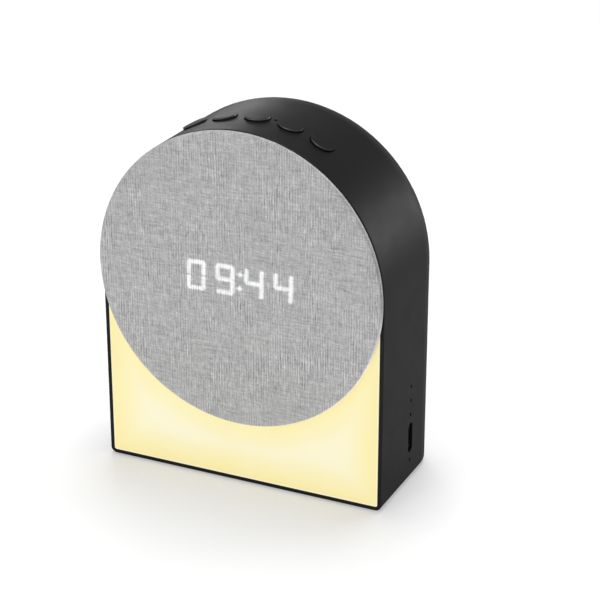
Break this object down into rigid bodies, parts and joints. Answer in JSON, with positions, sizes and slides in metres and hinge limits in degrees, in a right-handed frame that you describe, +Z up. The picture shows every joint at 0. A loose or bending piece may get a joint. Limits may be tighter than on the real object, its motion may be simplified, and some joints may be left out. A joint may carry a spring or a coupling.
{
  "type": "sunrise alarm clock",
  "caption": "Arched bedside alarm clock with a round woven disc over its display and speaker, a warm light panel below, and push buttons along the top.",
  "frame": {"origin": "middle of the footprint (halfway across and halfway front to back over the whole object), at the surface it stands on", "axes": "+Z up, the front with the disc and the light panel faces -Y, the side with the charging port faces +X"},
  "size_m": [0.12, 0.063, 0.1479],
  "materials": {
    "case_black": "fine matt texture, slightly rounded edges",
    "button_black": "matt, a touch smoother than the case",
    "foot_rubber": "matt rubber",
    "frame_white": "satin moulded white",
    "opal_panel": "opal, lit warm white from behind",
    "tape_white": "matt foam tape",
    "lamp_board_white": "white solder mask",
    "lamp_yellow": "phosphor under clear resin",
    "plate_black": "matt moulded plate",
    "grey_fabric": "heathered woven cloth with fine upright threads",
    "display_black": "matt moulded display body",
    "segment_lit": "lit white resin",
    "segment_dark": "unlit milky resin",
    "board_green": "green solder mask",
    "foam_grey": "foam",
    "basket_steel": "painted pressed steel",
    "surround_rubber": "soft rubber",
    "cone_paper": "pressed paper",
    "magnet_steel": "plated steel",
    "switch_black": "moulded",
    "flex_amber": "amber flexible circuit",
    "bracket_black": "moulded",
    "bright_metal": "tinned steel",
    "chip_black": "moulded resin",
    "capacitor_aluminium": "bright can",
    "connector_cream": "moulded nylon",
    "cell_chrome": "bright cell case",
    "port_black": "dark plated shell",
    "lamp_white": "clear resin over white",
    "pipe_smoke": "smoked clear plastic",
    "plunger_ivory": "moulded",
    "cell_blue": "blue shrink sleeve over the metal can",
    "screw_black": "black oxide",
    "screw_bright": "zinc plated",
    "ribbon_grey": "flat cable",
    "lead_red": "insulated wire"
  },
  "bodies": {
    "case": {"housing": "case_black", "rubber_feet": "foot_rubber", "inner_frame": "frame_white", "diffuser_panel": "opal_panel", "panel_tape": "tape_white", "light_board": "lamp_board_white", "warm_lamps": "lamp_yellow", "disc_plate": "plate_black", "fabric_cover": "grey_fabric", "display_block": "display_black", "lit_segments": "segment_lit", "dark_segments": "segment_dark", "display_board": "board_green", "speaker_gasket": "foam_grey", "speaker_basket": "basket_steel", "speaker_surround": "surround_rubber", "speaker_cone": "cone_paper", "speaker_magnet": "magnet_steel", "key_switches": "switch_black", "switch_flex": "flex_amber", "button_guide": "bracket_black", "switch_carrier": "bracket_black", "microphone": "bright_metal", "microphone_boot": "surround_rubber", "main_board": "board_green", "shield_can": "bright_metal", "board_chips": "chip_black", "capacitors": "capacitor_aluminium", "board_connectors": "connector_cream", "coin_cell_holder": "switch_black", "coin_cell": "cell_chrome", "power_board": "board_green", "usb_shell": "port_black", "usb_tongue": "switch_black", "indicator_lamps": "lamp_white", "indicator_pipes": "pipe_smoke", "reset_switch": "switch_black", "battery_cell": "cell_blue", "battery_cradle": "frame_white", "battery_clip": "bracket_black", "case_screws": "screw_black", "disc_screws": "screw_bright", "inner_screws": "screw_bright", "display_ribbon": "ribbon_grey", "button_ribbon": "flex_amber", "speaker_leads": "lead_red", "light_leads": "lead_red", "power_leads": "lead_red", "battery_leads": "lead_red"},
    "top_button_1": {"button_1": "button_black", "switch_plunger_1": "plunger_ivory"},
    "top_button_2": {"button_2": "button_black", "switch_plunger_2": "plunger_ivory"},
    "top_button_3": {"button_3": "button_black", "switch_plunger_3": "plunger_ivory"},
    "top_button_4": {"button_4": "button_black", "switch_plunger_4": "plunger_ivory"},
    "top_button_5": {"button_5": "button_black", "switch_plunger_5": "plunger_ivory"},
    "reset_pin": {"reset_plunger": "plunger_ivory"}
  },
  "joints": [
    {"name": "button_1_press", "type": "slide", "parent": "case", "child": "top_button_1", "axis": [0.4469, 0, -0.8946], "range_m": [0, 0.0005], "stiffness_N_per_m": 1500, "springref_m": -0.0002},
    {"name": "button_2_press", "type": "slide", "parent": "case", "child": "top_button_2", "axis": [0.2296, 0, -0.9733], "range_m": [0, 0.0005], "stiffness_N_per_m": 1500, "springref_m": -0.0002},
    {"name": "button_3_press", "type": "slide", "parent": "case", "child": "top_button_3", "axis": [0, 0, -1], "range_m": [0, 0.0005], "stiffness_N_per_m": 1500, "springref_m": -0.0002},
    {"name": "button_4_press", "type": "slide", "parent": "case", "child": "top_button_4", "axis": [-0.2296, 0, -0.9733], "range_m": [0, 0.0005], "stiffness_N_per_m": 1500, "springref_m": -0.0002},
    {"name": "button_5_press", "type": "slide", "parent": "case", "child": "top_button_5", "axis": [-0.4469, 0, -0.8946], "range_m": [0, 0.0005], "stiffness_N_per_m": 1500, "springref_m": -0.0002},
    {"name": "reset_press", "type": "slide", "parent": "case", "child": "reset_pin", "axis": [-1, 0, 0], "range_m": [0, 0.0003], "stiffness_N_per_m": 3000, "springref_m": -0.0002}
  ]
}
